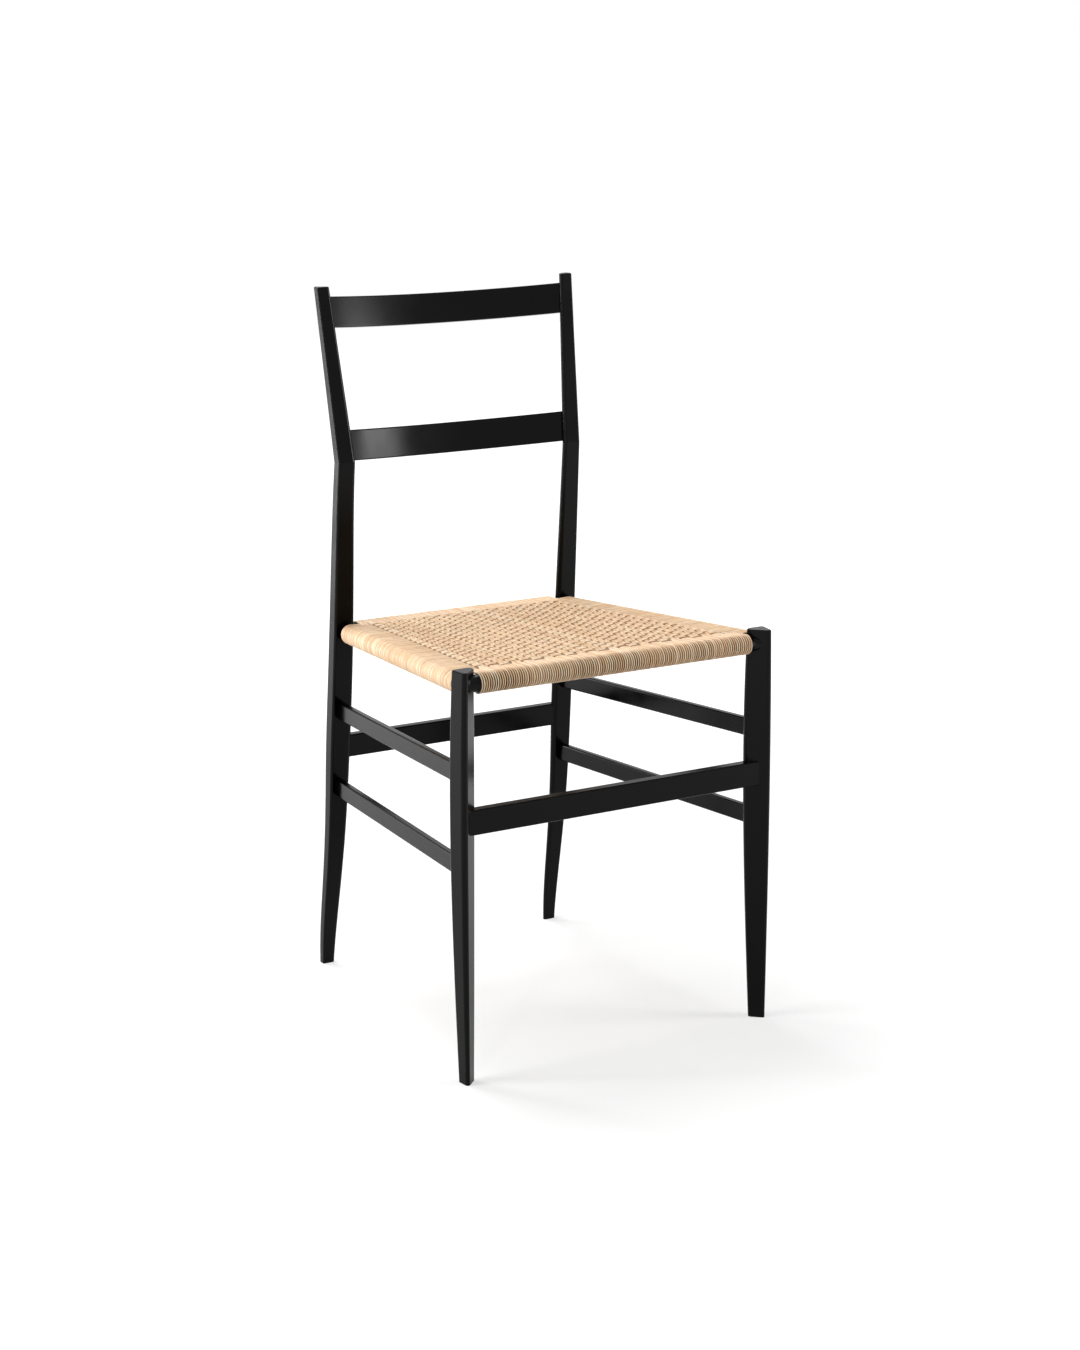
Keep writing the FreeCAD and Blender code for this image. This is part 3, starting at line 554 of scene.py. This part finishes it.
# %% Heights
LAYER = 0.9 * MM
CROWN = 0.9 * MM
CROWN_SHARES = (0.6, 1.3)
DOME = 0.5 * MM
WEAVE_HEIGHT = 9.3 * MM
SETTLE = 18 * MM
STRAND_WOBBLE = 0.1 * MM
SHADE_LEVEL = 1.05
SHADE_RUN = 1.5
WRAP_RADIUS = RAIL_RADIUS + STRAND_THICKNESS / 2
bulge = CROWN * chance.uniform(*CROWN_SHARES, over.shape)


def ease(share):
    """A smooth step from 0 to 1: 3 t^2 - 2 t^3."""
    share = np.clip(share, 0, 1)
    return share * share * (3 - 2 * share)


def shadowed(level):
    """Painted shade for a strand's level, from 0 on top to 1 at the bottom: a smooth step."""
    return ease((SHADE_LEVEL - level) / SHADE_RUN)


def half_width(along):
    """Half the width that the warp covers, which narrows evenly to the rear."""
    return FRONT_HALF + (REAR_HALF - FRONT_HALF) * np.clip(along / SEAT_LENGTH, 0, 1)


def settled(distance):
    """The weave's middle height at a distance from a rail: it drops smoothly off the winding."""
    top = WRAP_RADIUS - LAYER
    return top + (WEAVE_HEIGHT - top) * ease(distance / SETTLE)


print("bulges:", round(bulge.min() / MM, 2), "to", round(bulge.max() / MM, 2), "mm")

# %% [markdown]
# ## Winding round a rail
# Each strand comes from under the seat, goes round the rail and over it. The turn is most of a
# circle, with its end out of sight. All strands share its points, as a place out from the
# rail's axis and a height. Each turn lands one strand further on, so the strand slants there.

# %% Winding
RING_STEPS = 20
RING_START = math.radians(25)
RING_TURN = math.radians(295)
ring_angle = RING_START - RING_TURN * np.arange(RING_STEPS) / RING_STEPS
ring_out = WRAP_RADIUS * np.cos(ring_angle)
ring_high = WRAP_RADIUS * np.sin(ring_angle)
ring_share = 1 - np.arange(RING_STEPS) / RING_STEPS
ring_pad = ((0, 0), (RING_STEPS, RING_STEPS))
FULL_TURN = 6.3  # the most that a strand's wave is put forward, in radians
print("winding radius:", round(WRAP_RADIUS / MM, 1), "mm")

# %% [markdown]
# ## Warp: places along it and heights
# Each warp strand winds round the front rail, crosses the seat and winds round the rear rail.
# Between two rows it passes from its level at one to its level at the next by a smooth step.

# %% Warp levels
WARP_STEPS = 3
FRONT_STEPS = 4
REAR_STEPS = 6
front_run = WEFT_FIRST * np.arange(FRONT_STEPS) / FRONT_STEPS
inner = WEFT_FIRST + np.arange(ROWS * WARP_STEPS + 1) * ROW_PITCH / WARP_STEPS
rear_run = WEFT_LAST + (SEAT_LENGTH - WEFT_LAST) * np.arange(1, REAR_STEPS + 1) / REAR_STEPS
flat_along = np.concatenate([front_run, inner, rear_run])
along = np.concatenate([ring_out, flat_along, SEAT_LENGTH - ring_out[::-1]])
inside = np.minimum(along, SEAT_LENGTH - along)

rows_in = np.clip((flat_along - row_place[0]) / ROW_PITCH, 0, ROWS - 1)
low = np.minimum(rows_in.astype(int), ROWS - 2)
step = ease(rows_in - low)
warp_level = level[:, low] * (1 - step) + level[:, low + 1] * step
floats = over[:, low] & over[:, low + 1] & woven[:, low] & woven[:, low + 1]
warp_crown = np.where(floats, bulge[:, low] * 4 * step * (1 - step), 0)
settled_high = settled(np.minimum(flat_along, SEAT_LENGTH - flat_along))
flat_high = settled_high + LAYER * warp_level + warp_crown
print("places on a warp strand:", len(along))

# %% [markdown]
# ## Warp: places across
# The seat gets narrower to the rear, and so do its groups. The five strands of a group are drawn
# together where they dive under a row, which opens the holes. The outermost groups stand off
# a little from the field, and every strand wanders a tenth of a millimetre, as by hand.

# %% Warp across
WARP_PINCH = 0.6
BORDER_PINCH = 0.2
BORDER_REACH = 7 * MM
BORDER_GAP = 1.6 * MM
GAP_START = 12 * MM
GAP_RUN = 10 * MM
WARP_WANDER = 0.12 * MM
WARP_WAVE = 13 * MM
warps = GROUPS * GROUP_STRANDS
warp_group = np.repeat(np.arange(GROUPS), GROUP_STRANDS)
warp_offset = np.tile(np.arange(GROUP_STRANDS) - (GROUP_STRANDS - 1) / 2, GROUPS)

borders = row_place[[FRONT_BAND_ROWS, -REAR_BAND_ROWS - 1]]
near_border = ease(1 - np.abs(flat_along[:, None] - borders).min(axis=1) / BORDER_REACH)
pinch = np.where(warp_level < 0, WARP_PINCH * -warp_level, 0)
pinch = np.maximum(pinch, BORDER_PINCH * near_border)
drawn = 1 - np.pad(pinch, ring_pad)[warp_group]
pitch = 2 * half_width(along) / warps
lane = (warp_group + 0.5) * GROUP_STRANDS - warps / 2
ends = (warp_group == GROUPS - 1).astype(float) - (warp_group == 0)
stand_off = BORDER_GAP * ease((inside - GAP_START) / GAP_RUN)
across = pitch * (lane[:, None] + warp_offset[:, None] * drawn) + ends[:, None] * stand_off
no_slant = np.zeros(len(flat_along))
slant = 0.5 * pitch[0] * np.concatenate([-ring_share, no_slant, ring_share[::-1]])
wave = chance.normal(0, WARP_WANDER, (warps, 1))
wander = wave * np.sin(along / WARP_WAVE + chance.random((warps, 1)) * FULL_TURN)
across = across + slant + wander
print("warp pitch:", round(pitch[0] / MM, 2), "to", round(pitch.min() / MM, 2), "mm")

# %% [markdown]
# ## Warp: heights across a group
# Where a group lies on top, its middle strands stand a little higher than its outer ones, so
# the group shows as a soft rib. A curve for each strand could do this, but one arch serves all.

# %% Warp heights
arch = DOME * (1 - (2 * warp_offset / GROUP_STRANDS) ** 2)
raised = np.pad(np.clip(warp_level, 0, 1) * woven[:, low], ring_pad)[warp_group]
high = np.pad(flat_high, ring_pad)[warp_group] + arch[:, None] * raised
high[:, :RING_STEPS] = ring_high
high[:, -RING_STEPS:] = ring_high[::-1]
high = high + np.abs(chance.normal(0, STRAND_WOBBLE, (warps, 1)))
warp_path = seat_point(across, np.broadcast_to(along, across.shape), high)
print("warp heights:", round(high.min() / MM, 1), "to", round(high.max() / MM, 1), "mm")

# %% [markdown]
# ## Warp: widths and painted shade
# On the rails the strands are round, with fine gaps that are wider in some stretches than in
# others. On the seat they lie flat and close, and the rim of each group gets a dark edge of
# painted shade.

# %% Warp widths
WARP_FILL = 0.99
RING_FILL = 0.75
LOOSE_STRANDS = 9
LOOSE_FILL = 0.05
LOOSE_SPREAD = 0.25
LOOSE_MOST = 0.18
FLATTEN_FROM = -2 * MM
WIDEN_FROM = -4 * MM
FLATTEN_RUN = 12 * MM
RIM_RUN = 3 * MM
WIDTH_SHARES = (0.9, 1.0)
DRAWN_WIDTH = 0.7
BORDER_LIGHT = 0.6
flattened = ease((inside - FLATTEN_FROM) / FLATTEN_RUN)
warp_fill = RING_FILL + (WARP_FILL - RING_FILL) * ease((inside - WIDEN_FROM) / FLATTEN_RUN)
mean_of_some = np.ones(LOOSE_STRANDS) / LOOSE_STRANDS
slow = np.convolve(chance.normal(0, 1, warps), mean_of_some, mode="same")[:, None]
loose = np.clip(LOOSE_FILL + LOOSE_SPREAD * slow, 0, LOOSE_MOST)
warp_fill = warp_fill - loose * (1 - flattened)
uneven = chance.uniform(*WIDTH_SHARES, (warps, 1))
warp_width = pitch * warp_fill * (1 - DRAWN_WIDTH + DRAWN_WIDTH * drawn) * uneven

# Painted shade: a strand is painted darker where it dives under a row, and less so near a border.
border_shade = shadowed(warp_level) * (1 - BORDER_LIGHT * near_border)
warp_painted_shade = np.pad(border_shade, ring_pad)[warp_group]
after_front = ease((along - borders[0] + RIM_RUN) / RIM_RUN)
before_rear = ease((borders[1] - along + RIM_RUN) / RIM_RUN)
# Painted shade: the outer strands of each group get a dark rim between the borders.
group_edges = np.zeros((GROUP_STRANDS, 2))
group_edges[0, 1] = group_edges[-1, 0] = 1
warp_rims = np.tile(group_edges, (GROUPS, 1))[:, None] * (after_front * before_rear)[:, None]
print("warp widths:", round(warp_width.min() / MM, 2), "to", round(warp_width.max() / MM, 2), "mm")

# %% [markdown]
# ## Warp: the strands
# The warp is made as three sets, left, middle and right, so that no mesh gets too large.

# %% Warp strands
WARP_NODES = ["woven_seat_panel", "seat_wrap_front", "seat_wrap_rear"]
warp_sets = (("left", 0, 9), ("middle", 9, 16), ("right", 16, GROUPS))  # names, groups
for part, first, last in warp_sets:
    mine = slice(first * GROUP_STRANDS, last * GROUP_STRANDS)
    strand_set(f"cane_front_to_back_{part}", warp_path[mine], -ACROSS, warp_width[mine],
               warp_painted_shade[mine], flattened, warp_rims[mine], WARP_NODES)

# %% [markdown]
# ## Weft: where the side rails are
# The weft winds round the side rails, which slant, so each pair is a little shorter than the
# one before. The rails' axes are worked out from the box of a side winding: it spans the
# slanted axis and one thickness of the winding, which its slant makes a little narrower.

# %% Side rails
side_low, side_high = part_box("seat_wrap_left")
side_span = side_high[0] - side_low[0]
side_run = WEFT_LAST - WEFT_FIRST
side_slant = math.atan((side_span - 2 * (RAIL_RADIUS + STRAND_THICKNESS)) / side_run)
side_thick = 2 * (RAIL_RADIUS + STRAND_THICKNESS) * math.cos(side_slant)
narrowing = (side_span - side_thick) / side_run
side_front = -side_low[0] - side_thick / 2 + narrowing * WEFT_FIRST
print("side axes at the front rail:", round(side_front / MM, 2), "mm")
print("narrowing:", round(narrowing, 4), "of the way to the rear")

# %% [markdown]
# ## Weft: levels and places
# A weft strand is on top where the warp group under it dives, and there it bulges. It changes
# its level in a short dip at the edge between two groups. The two strands of a row draw
# together under a group.

# %% Weft levels
WEFT_STEPS = 6
SIDE_STEPS = 6
DIP_SHARE = 0.2
in_groups = np.arange(GROUPS * WEFT_STEPS + 1) / WEFT_STEPS
edge = np.rint(in_groups).astype(int)
padded = np.pad(-level, ((1, 1), (0, 0)), constant_values=1.0)
dip = ease((in_groups - edge) / (2 * DIP_SHARE) + 0.5)[:, None]
weft_level = (padded[edge] * (1 - dip) + padded[edge + 1] * dip).T
cell = np.minimum(in_groups.astype(int), GROUPS - 1)
humps = 1 - (2 * (in_groups - cell) - 1) ** 2
weft_crown = humps * (bulge * (woven & ~over))[cell].T
wefts = ROWS * ROW_STRANDS
weft_row = np.repeat(np.arange(ROWS), ROW_STRANDS)
side_level = np.ones((wefts, SIDE_STEPS))
flat_level = np.concatenate([side_level, weft_level[weft_row], side_level], axis=1)
print("places on a weft strand:", flat_level.shape[1] + 2 * RING_STEPS)

# %% [markdown]
# ## Weft: places across
# From the turn round a side rail the strand runs level to the edge of the warp, through the
# weave and out to the other rail. The right half is the left half mirrored.

# %% Weft across
weft_offset = np.tile((np.arange(ROW_STRANDS) - (ROW_STRANDS - 1) / 2) / ROW_STRANDS, ROWS)
weft_along = row_place[weft_row] + weft_offset * ROW_PITCH
axis = side_front - narrowing * weft_along
reach = half_width(weft_along)
share_out = np.arange(SIDE_STEPS) / SIDE_STEPS
outer = -axis[:, None] + (axis - reach)[:, None] * share_out
middle = reach[:, None] * (2 * in_groups / GROUPS - 1)
ring = -axis[:, None] + ring_out
across = np.concatenate([ring, outer, middle, -outer[:, ::-1], -ring[:, ::-1]], axis=1)
print("weft reaches:", round(reach.max() / MM, 1), "to", round(reach.min() / MM, 1), "mm")

# %% [markdown]
# ## Weft: heights and places along
# A row stays straight from side to side, so its two strands only move towards each other, slant
# on the rails and wander a little. The heights follow the levels, as for the warp.

# %% Weft heights and places along
WEFT_PINCH = 0.5
WEFT_WANDER = 0.14 * MM
WEFT_WAVE = 11 * MM
flat_across = across[:, RING_STEPS:-RING_STEPS]
flat = settled(axis[:, None] - np.abs(flat_across)) + LAYER * flat_level
flat[:, SIDE_STEPS:-SIDE_STEPS] += weft_crown[weft_row]
round_high = np.broadcast_to(ring_high, ring.shape)
high = np.concatenate([round_high, flat, round_high[:, ::-1]], axis=1)
high = high + np.abs(chance.normal(0, STRAND_WOBBLE, (wefts, 1)))
drawn = np.pad(np.where(flat_level < 0, -flat_level * WEFT_PINCH, 0), ring_pad)
no_slant = np.zeros(flat.shape[1])
slant = 0.5 * ROW_PITCH / ROW_STRANDS * np.concatenate([-ring_share, no_slant, ring_share[::-1]])
spread = (weft_offset * ROW_PITCH)[:, None] * (1 - drawn)
along = row_place[weft_row][:, None] + spread + slant
wave = chance.normal(0, WEFT_WANDER, (wefts, 1))
along = along + wave * np.sin(across / WEFT_WAVE + chance.random((wefts, 1)) * FULL_TURN)
weft_path = seat_point(across, along, high)
print("weft heights:", round(high.min() / MM, 1), "to", round(high.max() / MM, 1), "mm")

# %% [markdown]
# ## Weft: widths and painted shade
# Cane varies more than a machine's cord: about one weft strand in four is a quarter narrower
# than the others. Both edges of a row get a dark line of painted shade all the way between the
# side rails.

# %% Weft strands
WEFT_FILL = 0.94
SLIM_FROM = 0.72
SLIM_LOSS = 0.26
WEFT_DRAWN_WIDTH = 0.5
WEFT_FLATNESS = 0.3
slimmer = 1 - SLIM_LOSS * (chance.random((wefts, 1)) > SLIM_FROM)
weft_width = ROW_PITCH / ROW_STRANDS * WEFT_FILL * (1 - WEFT_DRAWN_WIDTH * drawn) * slimmer
# Painted shade: a weft strand is painted darker where it dives under a group.
weft_painted_shade = shadowed(np.pad(flat_level, ring_pad, constant_values=1.0))
weft_flat = np.full(weft_painted_shade.shape[1], WEFT_FLATNESS)
between_rails = np.pad(np.ones(len(in_groups)), RING_STEPS + SIDE_STEPS)
weft_rims = np.tile(np.eye(ROW_STRANDS), (ROWS, 1))[:, None] * between_rails[:, None]
WEFT_NODES = ["woven_seat_panel", "seat_wrap_left", "seat_wrap_right"]
weft_sets = (("front", 0, 24), ("middle", 24, 48), ("rear", 48, ROWS))  # names, rows
for part, first, last in weft_sets:
    mine = slice(first * ROW_STRANDS, last * ROW_STRANDS)
    strand_set(f"cane_side_to_side_{part}", weft_path[mine], ALONG, weft_width[mine],
               weft_painted_shade[mine], weft_flat, weft_rims[mine], WEFT_NODES)
